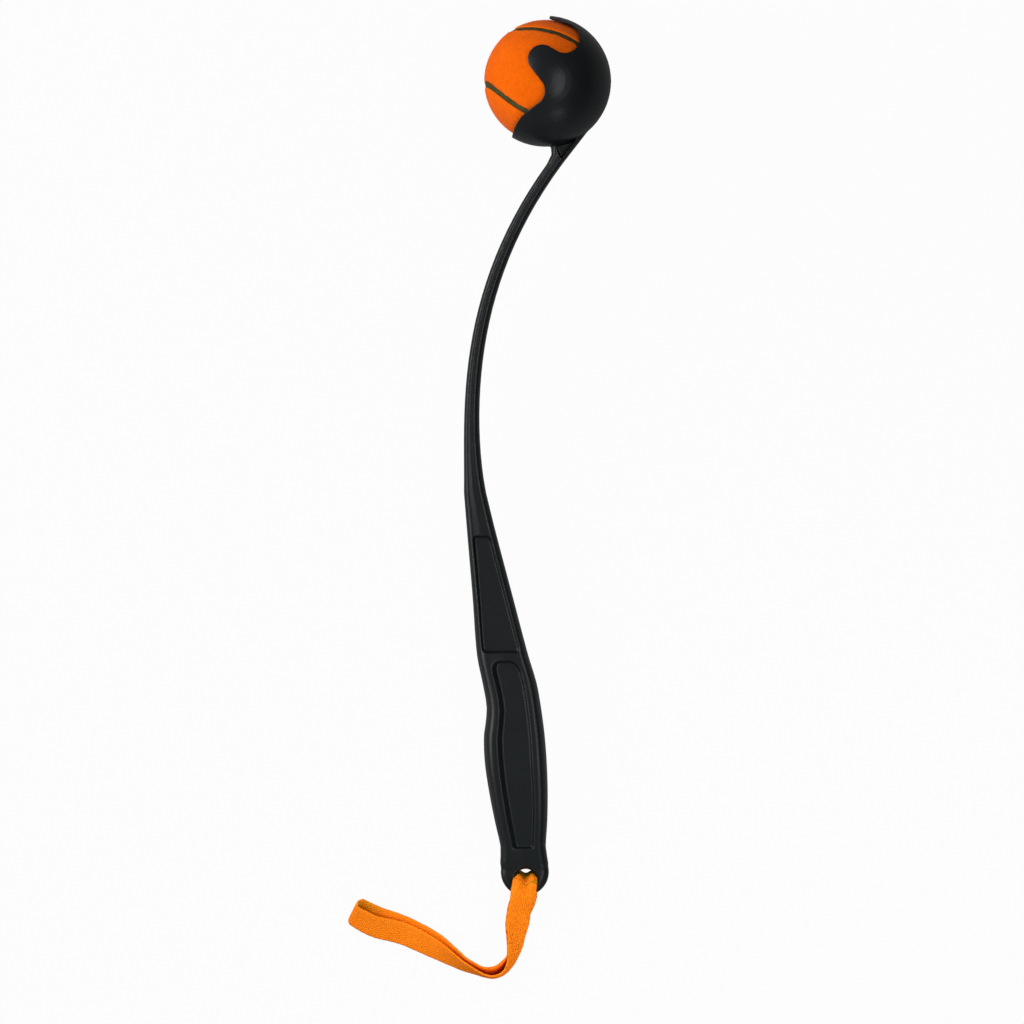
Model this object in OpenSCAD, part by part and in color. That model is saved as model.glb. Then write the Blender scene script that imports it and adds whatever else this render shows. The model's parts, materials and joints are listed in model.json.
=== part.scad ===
// Dog ball launcher: a one-piece moulded throwing stick whose claw cup grips a felt ball,
// with a webbing wrist strap looped through the hole in its butt.
// The stick is drawn flat, with the hole at the origin, the cup up along Y and the
// mirror plane at Z = 0, and is then laid on its side on the table.

/* [Ball] */
// Diameter over the felt
ball_d = 65; // [60:0.5:70]
// Thickness of the felt cover
felt_t = 2.8; // [2.4:0.1:3.4]
// Wall of the hollow rubber core
core_wall = 3.4; // [2.5:0.1:5]
// Width of the seam between the two felt panels
seam_w = 3.1; // [2:0.1:3.6]
// Depth of the seam below the felt
seam_drop = 0.5; // [0.2:0.1:1]

/* [Cup] */
// Gap between the ball and the cup
cup_gap = 0.3; // [0.2:0.05:0.6]
// Wall of the cup
cup_wall = 2; // [1.6:0.1:2.6]
// Rise of the mouth's axis above the crosswise direction
mouth_rise = 17.5; // [5:0.5:30]
// Reach of the two prongs past the ball's middle
prong_reach = 8.2; // [6:0.1:9]
// Width of the upper prong
tongue_w = 26.4; // [25:0.1:28]
// Radius of the side finger's tip
finger_r = 7.7; // [6:0.1:8.5]
// Reach of the side finger past the ball's middle
finger_reach = 12.8; // [10:0.1:13.5]
// Distance of the side finger from the mouth's axis
finger_side = 10.2; // [9:0.1:11]
// Radius of the two notches beside the finger
notch_r = 7.9; // [6.5:0.1:8.2]
// Depth of the upper notch behind the ball's middle
upper_notch = 10.8; // [8:0.1:13]
// Depth of the lower notch behind the ball's middle
lower_notch = 1.6; // [1:0.1:4]
// Distance of the lower notch from the mouth's axis
lower_notch_side = 7.8; // [7:0.1:9]
// Radius of the rim between the lower notch and the lower prong
heel_r = 21; // [18:0.5:24]

/* [Arm] */
// Height of the ball's middle above the hole
reach = 423; // [380:1:480]
// Ball's middle to the right of the hole
cup_side = 10.5; // [5:0.5:16]
// Width of the arm where it leaves the handle
arm_w_low = 8.2; // [6.5:0.1:9]
// Width of the arm below the cup
arm_w_high = 6.7; // [5.5:0.1:7.5]
// Thickness of the arm where it leaves the handle
arm_t_low = 13.5; // [11:0.5:16]
// Thickness of the arm below the cup
arm_t_high = 12; // [10:0.5:14]
// Lean of the arm where it leaves the handle
arm_lean_low = -5.2; // [-10:0.2:-3]
// Lean of the arm below the cup
arm_lean_high = 36.2; // [30:0.2:40]
// Length of the arm's spread below the cup
stem = 9.5; // [8:0.5:12]
// Width of the flanges beside the pocket below the cup
flange = 2.2; // [1.6:0.1:2.8]
// Thickness of the web in the pocket below the cup
web_t = 3; // [2:0.2:5]

/* [Handle] */
// Height of the throat, where the handle runs into the arm
throat_v = 205; // [190:1:220]
// Width at the throat
throat_w = 11.8; // [10:0.1:13]
// Throat's middle to the left of the hole
throat_side = 26.9; // [22:0.1:32]
// Height of the shoulder between the two panels
shoulder_v = 119; // [114:1:124]
// Width at the shoulder
shoulder_w = 27.2; // [24:0.1:29]
// Shoulder's middle to the left of the hole
shoulder_side = 12.3; // [10:0.1:15]
// Height of the finger groove
groove_v = 92; // [88:1:96]
// Width at the finger groove
groove_w = 28.8; // [26:0.1:30]
// Height of the widest part of the grip
grip_v = 62; // [58:1:66]
// Widest part of the grip
grip_w = 32.9; // [30:0.1:36]
// Thickness of the grip
grip_t = 27; // [24:0.5:30]
// Height of the thickest part of the grip
belly_v = 75; // [70:1:80]
// Radius of the grip's belly along its length
belly_r = 300; // [260:10:340]
// Width of the neck above the butt
neck_w = 23.9; // [21:0.1:25]
// Dish of the land between the rails
land_dip = 0.5; // [0.2:0.1:0.8]

/* [Panels] */
// Depth of the two recessed panels on each side
panel_depth = 2.4; // [1.5:0.1:3.5]
// Run of the panels' sloping walls
panel_run = 1.4; // [0.8:0.1:1.8]
// Run of the grip panel's left wall, below the finger groove
grip_run = 2.6; // [1.8:0.1:3]
// Rail beside the grip panel at its widest
grip_rail = 7.4; // [6.6:0.1:8.4]
// Left rail beside the upper panel
upper_rail_left = 2.4; // [2:0.1:3.4]
// Right rail beside the upper panel
upper_rail_right = 3.4; // [2.8:0.1:4.4]
// Length of the upper panel
upper_panel_len = 63; // [50:1:68]
// Land between the two panels
panel_land = 3.2; // [2.6:0.2:7]

/* [Butt] */
// Radius of the rounded butt
butt_r = 12.8; // [11.5:0.1:14]
// Thickness of the butt
butt_t = 9; // [8:0.5:10]
// Butt's middle above the hole
butt_up = 4; // [3.5:0.1:5]
// Radius of the strap hole
hole_r = 5.6; // [5.4:0.1:6]
// Chamfer of the strap hole
hole_chamfer = 1; // [0.8:0.1:1.2]

/* [Strap] */
// Width of the webbing
strap_w = 15; // [12:0.5:18]
// Thickness of the webbing
strap_t = 1.2; // [1:0.1:1.5]
// Bow of the strap in front of the butt
strap_bow = 2.4; // [2.2:0.1:3]
// Clearance between the strap and the table
strap_lift = 0.2; // [0.1:0.05:0.4]
// Width of a bar tack across the strap
tack_w = 11; // [8:0.5:13]
// Length of a bar tack along the strap
tack_len = 2.4; // [1.6:0.2:3.6]
// Height of the thread over the webbing
thread_t = 0.4; // [0.3:0.05:0.6]

/* [Hidden] */
$fn = 96;
black = [0.11, 0.12, 0.125];
felt_orange = [0.95, 0.42, 0.02];
seam_brown = [0.29, 0.24, 0.11];
rubber_grey = [0.35, 0.34, 0.33];
web_orange = [0.98, 0.5, 0.08];
thread_orange = [0.9, 0.42, 0.05];

ball_r = ball_d / 2;
core_r = ball_r - felt_t;
// Glue line between the core and its cover
glue_t = 0.03;
cover_in = core_r + glue_t;
cup_in = ball_r + cup_gap;
cup_r = cup_in + cup_wall;
cup_c = [cup_side, reach];
far = 4 * cup_r;
mouth_turn = 180 - mouth_rise;

// Rest on the table: the stick lies on the cup's wall and the belly of its grip
belly_lift = belly_r - grip_t / 2;
rest_tilt = acos((belly_r - cup_r) / norm([reach - belly_v, belly_lift]))
    - atan2(reach - belly_v, belly_lift);
rest_h = cup_r - reach * sin(rest_tilt);

// Turn of the ball's seam in the cup
seam_turn = [90, 37.4, 243.7];
// Share of the seam curve's first harmonic, as on a tennis ball
seam_a = 0.75;
seam_steps = 96;

// Where the arm's edges run into the cup, as angles round the cup
root_left_a = -83.5;
root_right_a = -50.4;
arm_top_a = -83.9;
arm_top = cup_c + (cup_r + stem) * dir(arm_top_a);
root_left = cup_c + cup_r * dir(root_left_a);
root_right = cup_c + cup_r * dir(root_right_a);

// Share of each edge that is rounded off: a fixed part and a part of the width
round_left = [0.6, 0.17];
round_right = [3, 0.06];
side_power = 0.87;
side_steps = 6;
// Height where the belly's arc hands over to the taper towards the arm
belly_end = 100;

neck_v = butt_up + 0.96 * butt_r;
// Depth of the stick's end inside the rounded butt
butt_sink = 0.4;
// Rows down the handle: height, middle and width
butt_row = [butt_up, -0.5, 2 * (butt_r - butt_sink)];
knob_row = [butt_up + 0.47 * butt_r, -0.9, 2 * butt_r];
neck_row = [neck_v, -1.3, neck_w];
grip_row = [grip_v, -5.3, grip_w];
groove_row = [groove_v, -6.4, groove_w];
shoulder_row = [shoulder_v, -shoulder_side, shoulder_w];
throat_row = [throat_v, -throat_side, throat_w];
handle_rows = [
    butt_row,
    knob_row,
    neck_row,
    between(neck_row, grip_row, 0.3, 0.28, 0.42),
    between(neck_row, grip_row, 0.65, 0.64, 0.8),
    grip_row,
    between(grip_row, groove_row, 0.47, 0.7, 0.14),
    between(grip_row, groove_row, 0.73, 0.65, 0.63),
    groove_row,
    between(groove_row, shoulder_row, 0.45, 0.37, 0.05),
    shoulder_row,
    between(shoulder_row, throat_row, 0.36, 0.36, 0.38),
    between(shoulder_row, throat_row, 0.77, 0.78, 0.79),
    throat_row
];

// Small helpers
function dir(a) = [cos(a), sin(a)];
function lerp(a, b, t) = a + (b - a) * t;
function unit(v) = v / norm(v);
function between(a, b, up, side, width) =
    [lerp(a[0], b[0], up), lerp(a[1], b[1], side), lerp(a[2], b[2], width)];
function arc(c, r, from, to, steps) = [for (i = [0 : steps]) c + r * dir(lerp(from, to, i / steps))];
function hermite(p0, m0, p1, m1, t) =
    (2 * t^3 - 3 * t^2 + 1) * p0 + (t^3 - 2 * t^2 + t) * m0
    + (3 * t^2 - 2 * t^3) * p1 + (t^3 - t^2) * m1;

// Smooth curve through rows, read by their first column
function row_below(rows, x, i = 0) =
    i >= len(rows) - 2 || x < rows[i + 1][0] ? i : row_below(rows, x, i + 1);
function row_slope(rows, i) =
    let (a = rows[max(i - 1, 0)], b = rows[min(i + 1, len(rows) - 1)]) (b - a) / (b[0] - a[0]);
function row_at(rows, x) =
    let (i = row_below(rows, x),
         span = rows[i + 1][0] - rows[i][0])
    hermite(rows[i], row_slope(rows, i) * span, rows[i + 1], row_slope(rows, i + 1) * span,
            (x - rows[i][0]) / span);

// Stick outline: middle line, edges and thickness at a height
arm_len = arm_top[1] - throat_v;
function arm_middle(t) =
    hermite(-throat_side, arm_len * tan(arm_lean_low), arm_top[0], arm_len * tan(arm_lean_high), t);
function arm_lean(t) = atan((arm_middle(t + 0.01) - arm_middle(t - 0.01)) / (0.02 * arm_len));
function arm_width(t) =
    (lerp(arm_w_low, arm_w_high, t) + (throat_w - arm_w_low) * (1 - t)^10) / cos(arm_lean(t));
function arm_row(v) =
    let (t = (v - throat_v) / arm_len) [v, arm_middle(t), arm_width(t)];
function stick_row(v) = v <= throat_v ? row_at(handle_rows, v) : arm_row(v);
function left_edge(v) = let (row = stick_row(v)) row[1] - row[2] / 2;
function right_edge(v) = let (row = stick_row(v)) row[1] + row[2] / 2;
function belly(v) = grip_t / 2 - (v - belly_v)^2 / (2 * belly_r);
belly_slope = -(belly_end - belly_v) / belly_r;
arm_slope = (arm_t_high - arm_t_low) / 2 / arm_len;
function half_depth(v) =
    v <= belly_end ? belly(v)
    : v <= throat_v ? hermite(belly(belly_end), belly_slope * (throat_v - belly_end), arm_t_low / 2,
                              arm_slope * (throat_v - belly_end), (v - belly_end) / (throat_v - belly_end))
    : lerp(arm_t_low, arm_t_high, min(1, (v - throat_v) / arm_len)) / 2;

// Section of the stick: rounded sides, and a land that is dished between two crests
function side_curve(a) = [1 - cos(a)^side_power, sin(a)^side_power];
function front_half(left, right, depth) =
    let (width = right - left,
         run_left = round_left[0] + round_left[1] * width,
         run_right = min(round_right[0] + round_right[1] * width, 0.5 * width),
         land = width - run_left - run_right,
         dip = min(land_dip, 0.15 * land))
    concat(
        [for (i = [0 : side_steps]) let (s = side_curve(90 * i / side_steps))
            [left + run_left * s[0], depth * s[1]]],
        [[left + run_left + land / 2, depth - dip]],
        [for (i = [side_steps : -1 : 0]) let (s = side_curve(90 * i / side_steps))
            [right - run_right * s[0], depth * s[1]]]);
function section(v, left, right, depth) =
    let (front = front_half(left, right, depth))
    concat([for (p = front) [p[0], v, p[1]]],
           [for (i = [len(front) - 2 : -1 : 1]) [front[i][0], v, -front[i][1]]]);

// Solid through a row of closed rings, with flat ends
module loft(rings) {
    n = len(rings[0]);
    last = len(rings) - 1;
    polyhedron(
        points = [for (ring = rings) each ring],
        faces = concat(
            [for (k = [0 : last - 1], i = [0 : n - 1], side = [0, 1])
                let (a = k * n + i, b = k * n + (i + 1) % n, c = a + n, d = b + n)
                side == 0 ? [a, d, b] : [a, c, d]],
            [[for (i = [0 : n - 1]) i]],
            [[for (i = [n - 1 : -1 : 0]) last * n + i]]));
}

// Solid through rings that close on themselves, with no ends
module closed_loft(rings) {
    n = len(rings[0]);
    count = len(rings);
    polyhedron(
        points = [for (ring = rings) each ring],
        faces = [for (k = [0 : count - 1], i = [0 : n - 1], side = [0, 1])
            let (next = (k + 1) % count,
                 a = k * n + i, b = k * n + (i + 1) % n, c = next * n + i, d = next * n + (i + 1) % n)
            side == 0 ? [a, d, b] : [a, c, d]]);
}

// Stick: handle and arm, with the arm's foot spread on the cup
handle_step = 4.6;
arm_step = 7;
handle_count = round((throat_v - butt_up) / handle_step);
arm_count = round(arm_len / arm_step);
root_depth = arm_t_high / 2;
foot_flare = 1.2;
root_rows = [
    [lerp(arm_top[1], root_left[1], 0.55), 0.75, 0],
    [root_left[1], 1, foot_flare],
    [lerp(root_left[1], root_right[1], 0.6), 1, foot_flare]
];
function root_left_edge(row) =
    lerp(left_edge(arm_top[1]), root_left[0], row[1]) - row[2];
function root_right_edge(v) =
    lerp(right_edge(arm_top[1]), root_right[0],
         (v - arm_top[1]) / (root_right[1] - arm_top[1]));
stick_rings = concat(
    [for (i = [0 : handle_count - 1]) let (v = lerp(butt_up, throat_v, i / handle_count))
        section(v, left_edge(v), right_edge(v), v > butt_up ? half_depth(v) : butt_t / 2 - butt_sink)],
    [for (i = [0 : arm_count]) let (v = lerp(throat_v, arm_top[1], i / arm_count))
        section(v, left_edge(v), right_edge(v), half_depth(v))],
    [for (row = root_rows) section(row[0], root_left_edge(row), root_right_edge(row[0]), root_depth)],
    [section(root_right[1], root_left[0], root_right[0], root_depth)],
    [section(root_right[1] + cup_wall, root_left[0], root_right[0] - cup_wall, root_depth)]);

module stick() {
    loft(stick_rings);
}

// Rounded butt: a disc whose edge has the stick's side curve
module butt() {
    run = round_right[0] + round_right[1] * 2 * butt_r;
    half = [for (i = [0 : side_steps]) let (s = side_curve(90 * i / side_steps))
        [butt_r - run * s[0], butt_t / 2 * s[1]]];
    translate([butt_row[1], butt_up, 0])
        rotate_extrude()
            polygon(concat([[0, -butt_t / 2]],
                           [for (i = [side_steps : -1 : 1]) [half[i][0], -half[i][1]]],
                           half,
                           [[0, butt_t / 2]]));
}

module strap_hole() {
    rim = butt_t / 2 - hole_chamfer;
    cylinder(r = hole_r, h = 2 * butt_t, center = true);
    for (turn = [0, 180])
        rotate([turn, 0, 0])
            translate([0, 0, rim])
                cylinder(r1 = hole_r, r2 = hole_r + 2 * hole_chamfer, h = 2 * hole_chamfer);
}

// Recessed panels: each cutter is a tray that follows the land and has sloping walls.
// Its ends rise clear of the land by a lip, so the slope cuts a clean edge.
tray_rise = 1.2;
tray_lip = 0.5;
function corner(e, r) = e < r ? r - sqrt(r^2 - (r - e)^2) : 0;
// Rails and wall runs are given as left and right
function tray_ring(v, low, high, low_r, high_r, rails, runs) =
    let (share = min(1, min(v - low, high - v) / panel_run),
         inset = max(corner(v - low, low_r), corner(high - v, high_r)),
         left = left_edge(v) + rails[0] + inset,
         right = right_edge(v) - rails[1] - inset,
         depth = half_depth(v),
         lean = runs * tray_rise / panel_depth,
         floor_depth = lerp(depth + tray_lip, depth - panel_depth, share))
    [[left - lean[0], v, depth + tray_rise], [right + lean[1], v, depth + tray_rise],
     [right - runs[1] * share, v, floor_depth], [left + runs[0] * share, v, floor_depth]];
function tray_heights(low, high, low_r, high_r) =
    let (steps = 4, straight = max(3, round((high - low - low_r - high_r) / 7)))
    concat([for (i = [0 : steps]) low + low_r * (1 - cos(90 * i / steps))],
           [for (i = [1 : straight - 1]) lerp(low + low_r, high - high_r, i / straight)],
           [for (i = [steps : -1 : 0]) high - high_r * (1 - cos(90 * i / steps))]);

grip_panel_low = neck_v - 0.4;
grip_panel_high = shoulder_v - panel_land / 2 - 1;
neck_rail = 6.1;
top_rail = 6.3;
grip_low_r = 1.6;
grip_high_r = 0.8 * (stick_row(grip_panel_high)[2] / 2 - top_rail);
upper_panel_low = grip_panel_high + panel_land;
upper_panel_high = upper_panel_low + upper_panel_len;
upper_low_r = 3;
upper_high_r = 2.8;
function grip_rail_at(v) =
    v < grip_v ? lerp(neck_rail, grip_rail, (v - grip_panel_low) / (grip_v - grip_panel_low))
    : lerp(grip_rail, top_rail, (v - grip_v) / (grip_panel_high - grip_v));

module panels() {
    grip_rings = [for (v = tray_heights(grip_panel_low, grip_panel_high, grip_low_r, grip_high_r))
        tray_ring(v, grip_panel_low, grip_panel_high, grip_low_r, grip_high_r,
                  [grip_rail_at(v), grip_rail_at(v)], [grip_run, panel_run])];
    upper_rings = [for (v = tray_heights(upper_panel_low, upper_panel_high, upper_low_r, upper_high_r))
        tray_ring(v, upper_panel_low, upper_panel_high, upper_low_r, upper_high_r,
                  [upper_rail_left, upper_rail_right], [panel_run, panel_run])];
    for (face = [0, 1])
        mirror([0, 0, face]) {
            loft(grip_rings);
            loft(upper_rings);
        }
}

// Pocket on each side of the web between the arm's two flanges and the cup
module root_pocket() {
    lean = unit(root_right - [right_edge(arm_top[1]), arm_top[1]]);
    inner = flange * [-lean[1], lean[0]];
    low = [right_edge(arm_top[1]), arm_top[1]] + inner + 0.2 * stem * lean;
    top = root_right + inner + stem * lean;
    left = [root_left[0] + 0.8 * flange, root_left[1]];
    for (face = [0, 1])
        mirror([0, 0, face])
            translate([0, 0, web_t / 2])
                linear_extrude(arm_t_high)
                    polygon([low, top, [left[0], top[1]], left]);
}

// Mouth of the cup, seen along the stick's thickness, with X along the mouth's axis
tongue_p = -sqrt(cup_r^2 - (tongue_w / 2)^2);
upper_c = [notch_r - upper_notch, tongue_p + notch_r];
finger_c = [finger_reach - finger_r, -finger_side];
lower_c = [notch_r - lower_notch, lower_notch_side];
heel_tip = [prong_reach, sqrt(cup_in^2 - prong_reach^2) + cup_gap];
heel_turn = 4;
heel_c = heel_tip - heel_r * dir(heel_turn);
function heading(a, b) = atan2(b[1] - a[1], b[0] - a[0]);
// Angle from the line of centres to the crossed tangent of two circles
function tangent_turn(a, ra, b, rb) = acos(min(1, (ra + rb) / norm(b - a)));

module mouth() {
    up = heading(upper_c, finger_c) + tangent_turn(upper_c, notch_r, finger_c, finger_r);
    down = heading(finger_c, lower_c) - tangent_turn(finger_c, finger_r, lower_c, notch_r);
    heel = heading(lower_c, heel_c) + tangent_turn(lower_c, notch_r, heel_c, heel_r);
    rim = concat(
        [[prong_reach, tongue_p]],
        arc(upper_c, notch_r, 270, up, 18),
        arc(finger_c, finger_r, up - 180, down, 16),
        arc(lower_c, notch_r, down + 180, heel, 10),
        arc(heel_c, heel_r, heel - 180, heel_turn, 6));
    rotate([0, 0, mouth_turn])
        linear_extrude(far, center = true)
            polygon(concat([[prong_reach, -far]], rim, [[prong_reach, far], [far, far], [far, -far]]));
}

module launcher() {
    color(black)
        lie()
            difference() {
                union() {
                    translate([cup_c[0], cup_c[1], 0])
                        difference() {
                            sphere(cup_r);
                            mouth();
                        }
                    stick();
                    butt();
                }
                translate([cup_c[0], cup_c[1], 0])
                    sphere(cup_in);
                difference() {
                    root_pocket();
                    translate([cup_c[0], cup_c[1], 0])
                        sphere(cup_r);
                }
                panels();
                strap_hole();
            }
}

// Ball: seam curve on a unit sphere, and the cone from the middle through one panel
function seam_point(t) =
    [seam_a * cos(t) + (1 - seam_a) * cos(3 * t),
     seam_a * sin(t) - (1 - seam_a) * sin(3 * t),
     2 * sqrt(seam_a * (1 - seam_a)) * sin(2 * t)];
function seam_side(t) =
    cross(seam_point(t), unit(seam_point(t + 0.5) - seam_point(t - 0.5)));
// Edge of a panel, half a seam's width from the seam's middle
function panel_edge(t) = unit(seam_point(t) + seam_w / 2 / ball_r * seam_side(t));

module panel_cone() {
    reach_out = 1.5 * ball_r;
    half = seam_steps / 2;
    step = 360 / seam_steps;
    one = [for (i = [0 : half]) reach_out * panel_edge(-45 + step * i)];
    two = [for (i = [0 : half]) reach_out * panel_edge(315 - step * i)];
    spine = [for (i = [0 : half]) reach_out * unit(one[i] + two[i])];
    points = concat([[0, 0, 0]], one, spine, two);
    a = 1;
    m = half + 2;
    b = 2 * half + 3;
    polyhedron(
        points = points,
        faces = [for (i = [0 : half - 1], part = [0 : 5])
            part == 0 ? [0, a + i, a + i + 1]
            : part == 1 ? [0, b + i + 1, b + i]
            : part == 2 ? [a + i, m + i, a + i + 1]
            : part == 3 ? [a + i + 1, m + i, m + i + 1]
            : part == 4 ? [m + i, b + i, m + i + 1]
            : [m + i + 1, b + i, b + i + 1]]);
}

module in_cup() {
    lie()
        translate([cup_c[0], cup_c[1], 0])
            children();
}

module felt_panel(turn) {
    color(felt_orange)
        in_cup()
            rotate(seam_turn)
                intersection() {
                    rotate([0, 90, 0])
                        difference() {
                            sphere(ball_r);
                            sphere(cover_in);
                        }
                    rotate([turn, 0, 0])
                        panel_cone();
                }
}

module felt_panel_a() {
    felt_panel(0);
}

module felt_panel_b() {
    felt_panel(180);
}

module ball_seam() {
    color(seam_brown)
        in_cup()
            rotate(seam_turn)
                difference() {
                    sphere(ball_r - seam_drop);
                    sphere(cover_in);
                    panel_cone();
                    rotate([180, 0, 0])
                        panel_cone();
                }
}

// Hollow core: two half shells that meet across the mouth's axis
module core_half(turn) {
    color(rubber_grey)
        in_cup()
            rotate([0, 0, mouth_turn])
                rotate([0, turn, 0])
                    rotate_extrude()
                        intersection() {
                            difference() {
                                circle(core_r);
                                circle(core_r - core_wall);
                            }
                            square(ball_d);
                        }
}

module core_half_inner() {
    core_half(-90);
}

module core_half_outer() {
    core_half(90);
}

// Wrist strap: a loop of webbing from the hole, down past the butt and round to the left.
// It is drawn in the table's frame, with the hole's axis at the origin.
// It is gathered to pass the hole: its middle dips, its sides fold back, and it bends down on both sides.
hole_rise = 1.4;
turn_r = 3.3;
turn_y = hole_rise - turn_r;
exit_z = rest_h + butt_t / 2 + strap_bow + strap_t / 2;
exit_lift = exit_z - strap_t / 2;

// Knots along each ply: across, along, lean from flat, height of its lower edge, gather.
// The upper ply leaves the front of the butt and stands up on its edge round the bend.
upper_knots = [
    [0, turn_y, 0, exit_lift, 1],
    [-0.4, -5, 3, exit_lift + 0.3, 0.28],
    [-1.2, -11, 10, exit_lift - 2.2, 0.12],
    [-2.6, -16.4, 24, 9.4, 0],
    [-3.6, -22, 33, 6.2, 0],
    [-4.6, -30, 49, 3.8, 0],
    [-5.6, -36.6, 60, 2.6, 0],
    [-7.4, -43, 74, 0.9, 0],
    [-9.9, -47.6, 83, strap_lift, 0],
    [-13, -50.4, 87, strap_lift, 0],
    [-17, -51.7, 88, strap_lift, 0],
    [-21, -51.2, 88, strap_lift, 0],
    [-25, -49.7, 85, strap_lift, 0],
    [-33.4, -45.8, 74, strap_lift, 0],
    [-38.7, -42.6, 66, strap_lift, 0],
    [-50, -35.8, 48, strap_lift, 0],
    [-65, -28.6, 40, strap_lift, 0],
    [-80, -24.8, 42, strap_lift, 0],
    [-90.4, -19.6, 46, strap_lift, 0]
];
// The lower ply leaves the back of the butt along the table and runs inside the upper one.
lower_knots = [
    [0, turn_y, 0, strap_lift, 1],
    [-0.5, -5.8, 0, strap_lift, 0.45],
    [-1.2, -11, 0, strap_lift, 0.14],
    [-2.6, -17, 8, strap_lift, 0],
    [-3.8, -24, 24, strap_lift, 0],
    [-4.8, -31, 42, strap_lift, 0],
    [-6, -37, 60, strap_lift, 0],
    [-8.1, -42, 72, strap_lift, 0],
    [-11.6, -45.6, 77, strap_lift, 0],
    [-14.4, -48, 79, strap_lift, 0],
    [-17.5, -49.2, 82, strap_lift, 0],
    [-21, -49.2, 84, strap_lift, 0],
    [-24.6, -47.8, 84, strap_lift, 0],
    [-32.1, -43.8, 74, strap_lift, 0],
    [-37.2, -40.5, 65, strap_lift, 0],
    [-48.4, -33.2, 46, strap_lift, 0],
    [-64.1, -24.6, 38, strap_lift, 0],
    [-78.8, -19, 38, strap_lift, 0],
    [-88.8, -13.8, 42, strap_lift, 0]
];
last_knot = len(upper_knots) - 1;
function knot_slope(knots, i) =
    (knots[min(i + 1, last_knot)] - knots[max(i - 1, 0)]) / (i == 0 || i == last_knot ? 1 : 2);
function knot_at(knots, s) =
    let (i = max(0, min(last_knot - 1, floor(s))))
    hermite(knots[i], knot_slope(knots, i), knots[i + 1], knot_slope(knots, i + 1), s - i);

// Section across the webbing, from its middle to an edge: the turn of each step and the point it ends at
across_steps = 8;
gather_dip = 17;
gather_fold = 85;
// Where the shoulder starts and how far it runs, as shares of the half width
shoulder_from = 0.4;
shoulder_run = 0.25;
function ease(t) = let (c = max(0, min(1, t))) c^2 * (3 - 2 * c);
function across_turn(gather, k) =
    gather * lerp(gather_dip, -gather_fold, ease((2 * k / across_steps - shoulder_from) / shoulder_run));
function across_point(w, gather, k) =
    k == 0 ? [0, 0] : across_point(w, gather, k - 1) + w / across_steps * dir(across_turn(gather, k - 0.5));
function across_tilt(gather, k) =
    k == 0 ? 0
    : k == across_steps / 2 ? across_turn(gather, k - 0.5)
    : (across_turn(gather, k - 0.5) + across_turn(gather, k + 0.5)) / 2;
// Height of the gathered webbing's shoulders over its middle
function shoulder_rise(gather) = across_point(strap_w, gather, across_steps / 4)[1];

// Middle line of a ply, the way along it, and the way that the upper ply faces
function ply_middle(knots, s, low) =
    let (k = knot_at(knots, s))
    [k[0], k[1], max(k[3], strap_lift) + strap_w / 2 * sin(k[2])
                 + (strap_t / 2 + (low ? shoulder_rise(k[4]) : 0)) * cos(k[2])];
function ply_along(knots, s, low) =
    unit(ply_middle(knots, s + 0.02, low) - ply_middle(knots, s - 0.02, low));
function ply_up(knots, s) =
    let (d = ply_along(knots, s, false), lean = knot_at(knots, s)[2], flat = unit([d[0], d[1], 0]))
    [-flat[1] * sin(lean), flat[0] * sin(lean), cos(lean)];

// Station: middle, way along, way up, width, gather, and how far it reaches below and above
function station(c, along, up, w, gather, below, above) =
    let (n = unit(up - (up * along) * along)) [c, along, n, w, gather, below, above];
function strip_point(st, side, i, off) =
    let (p = across_point(st[3], st[4], abs(i)),
         tilt = across_tilt(st[4], abs(i)))
    st[0] + sign(i) * (p[0] - off * sin(tilt)) * side + (p[1] + off * cos(tilt)) * st[2];
function strip_ring(st) =
    let (side = cross(st[1], st[2]), half = across_steps / 2)
    concat([for (i = [-half : half]) strip_point(st, side, i, st[6])],
           [for (i = [half : -1 : -half]) strip_point(st, side, i, -st[5])]);

function upper_station(s) =
    station(ply_middle(upper_knots, s, false), ply_along(upper_knots, s, false), ply_up(upper_knots, s),
            strap_w, knot_at(upper_knots, s)[4], strap_t / 2, strap_t / 2);
function lower_station(s, lap) =
    station(ply_middle(lower_knots, s, true), -ply_along(lower_knots, s, true), -ply_up(lower_knots, s),
            strap_w, knot_at(lower_knots, s)[4], strap_t / 2 + lap, strap_t / 2);
// Bend between the hole and a ply
function turn_station(angle, c, low) =
    let (up = [0, sin(angle), low ? -cos(angle) : cos(angle)],
         along = [0, low ? cos(angle) : -cos(angle), sin(angle)])
    station(c + turn_r * up, along, up, strap_w, 1, strap_t / 2, strap_t / 2);
// Fold at the far end, from the upper ply round to the lower one
fold_up = ply_up(upper_knots, last_knot);
fold_along = ply_along(upper_knots, last_knot, false);
fold_side = cross(fold_along, fold_up);
fold_span = ply_middle(upper_knots, last_knot, false) - ply_middle(lower_knots, last_knot, true);
function fold_station(angle) =
    let (facing = cos(angle) * fold_up + sin(angle) * fold_along,
         slip = fold_span * fold_side * (0.5 - angle / 180))
    station(ply_middle(upper_knots, last_knot, false) - fold_span / 2
            + fold_span * fold_up / 2 * facing + slip * fold_side,
            cos(angle) * fold_along - sin(angle) * fold_up, facing, strap_w, 0, strap_t / 2, strap_t / 2);

// Lap where the webbing is sewn into a loop, on the lower ply below the butt
lap_from = 3;
lap_to = 4.6;
lap_edge = 0.03;
tack_share = tack_len
    / norm(ply_middle(lower_knots, lap_to, true) - ply_middle(lower_knots, lap_to - 1, true));
tacks = [lap_from + 0.2, lap_to - 0.2 - tack_share];
lap_t = strap_t + 0.05;
line_step = 0.5;
fold_steps = 6;
turn_steps = 6;
front_turn = [0, turn_y, exit_z - turn_r];
low_turn = ply_middle(lower_knots, 0, true) + [0, 0, turn_r];

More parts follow.
